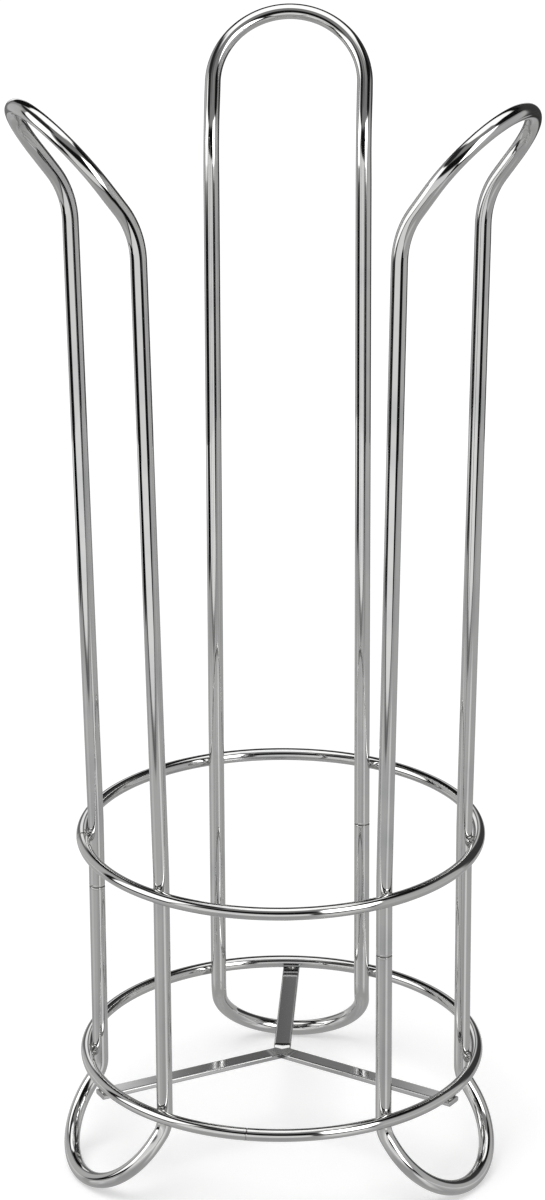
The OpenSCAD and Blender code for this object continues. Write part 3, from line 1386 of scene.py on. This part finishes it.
    def seen_directly(self, tree: bpy.types.NodeTree) -> bpy.types.Node:
        """Adds nodes that tell the rays which see the white surroundings from all others.

        Args:
            tree: The node tree.

        Returns:
            The node that gives 1 for what the camera, a mirror or glass sees, and else 0.
        """
        rays = add_node(tree, "ShaderNodeLightPath").outputs
        seen = rays["Is Camera Ray"]
        for kind in ("Is Glossy Ray", "Is Transmission Ray"):
            seen = add_node(tree, "ShaderNodeMath", {0: seen, 1: rays[kind]}, operation="MAXIMUM")
        return seen

    def build_floor(self) -> None:
        """Builds the floor that the camera sees: a matt white that also glows a little where it is
        seen directly, so that only the stand's shadow reads below white."""
        corners = self.floor_size / 2 * np.array([[-1, -1, 0], [1, -1, 0], [1, 1, 0], [-1, 1, 0]])
        floor = make_piece("floor", corners + [0, 0, self.floor_h], [[0, 1, 2, 3]])
        material, tree = new_material("white_sweep_paper")
        matt = add_node(tree, "ShaderNodeBsdfDiffuse", {"Color": linear(self.floor_colour)})
        lift = add_node(
            tree, "ShaderNodeMath", {0: self.seen_directly(tree), 1: self.floor_glow},
            operation="MULTIPLY",
        )
        glow = add_node(tree, "ShaderNodeEmission", {"Strength": lift})
        both = add_node(tree, "ShaderNodeAddShader", {0: matt, 1: glow})
        add_node(tree, "ShaderNodeOutputMaterial", {"Surface": both})
        floor.data.materials.append(material)
        floor.visible_glossy = False

    def build_world(self) -> None:
        """Makes the world white to the camera and to mirrors, and a soft grey fill for matt
        surfaces."""
        world = bpy.data.worlds.new("studio")
        bpy.context.scene.world = world
        world.use_nodes = True
        tree = world.node_tree
        tree.nodes.clear()
        strength = add_node(
            tree, "ShaderNodeMapRange",
            {"Value": self.seen_directly(tree), "To Min": self.fill, "To Max": 1.0},
        )
        background = add_node(
            tree, "ShaderNodeBackground", {"Color": linear("#FFFFFF"), "Strength": strength}
        )
        add_node(tree, "ShaderNodeOutputWorld", {"Surface": background})

    def build_light(self) -> None:
        """Adds one broad, far light from above, a little to the left and to the front."""
        lamp = bpy.data.lights.new("broad_soft_light", "SUN")
        lamp.angle = np.radians(self.lamp_angle)
        lamp.energy = self.lamp_strength
        light = bpy.data.objects.new(lamp.name, lamp)
        light.location = self.lamp_place
        light.rotation_euler = light.location.to_track_quat("Z", "Y").to_euler()
        light.visible_glossy = False
        bpy.context.scene.collection.objects.link(light)

    def build(self) -> None:
        """Builds the whole studio."""
        self.build_floor()
        self.build_sheet()
        self.build_tent()
        self.build_world()
        self.build_light()
        bpy.context.scene.view_settings.view_transform = "Standard"
        LOG.info(
            "studio: %d cards on the tent, %d on the floor",
            len(self.tent_cards), len(self.floor_cards_and_shade),
        )


@dataclass(frozen=True)
class Viewpoint:
    """The camera at the photograph's angle, in metres and degrees, with its lens and sensor in
    mm."""

    place: tuple[float, float, float] = (0.084645, -1.571023, 0.820431)
    heading: float = 3.18
    tilt: float = 69.14
    roll: float = -0.31
    lens: float = 136.22
    sensor: float = 36.0
    clips: tuple[float, float] = (0.05, 40)

    def build(self) -> None:
        """Sets the camera up and makes it the scene's."""
        data = bpy.data.cameras.new("camera")
        data.lens = self.lens
        data.sensor_width = self.sensor
        data.clip_start, data.clip_end = self.clips
        camera = bpy.data.objects.new("camera", data)
        pose = Matrix.Translation(self.place)
        for angle, axis in ((self.heading, "Z"), (self.tilt, "X"), (self.roll, "Z")):
            pose = pose @ Matrix.Rotation(np.radians(angle), 4, axis)
        camera.matrix_world = pose
        bpy.context.scene.collection.objects.link(camera)
        bpy.context.scene.camera = camera


def main() -> None:
    """Builds the camera, the stand's pieces and the studio."""
    logging.basicConfig(level=logging.INFO, format="%(message)s", stream=sys.stdout)
    Viewpoint().build()
    sizes = Sizes.from_frame()
    wire, bar, weld = ChromedWire(), ChromedBar(), ChromedWeld()
    pieces = [
        WireLoop(Place.LEFT, seam_below_ring=20.5 * MM, sizes=sizes, finish=wire),
        WireLoop(Place.RIGHT, seam_below_ring=24 * MM, sizes=sizes, finish=wire),
        WireLoop(Place.BACK, seam_below_ring=24 * MM, sizes=sizes, finish=wire),
        WireRing(Level.UPPER, seam_bearing=188, sizes=sizes, finish=wire),
        WireRing(Level.LOWER, seam_bearing=263, sizes=sizes, finish=wire),
        *[CrossingWelds(level, sizes, weld) for level in Level],
        *[FloorBar(place, sizes, bar) for place in Place],
        BarWelds(sizes, weld),
        CentreBead(weld),
    ]
    for piece in pieces:
        piece.dress()
    Studio().build()


if __name__ == "__main__":
    main()
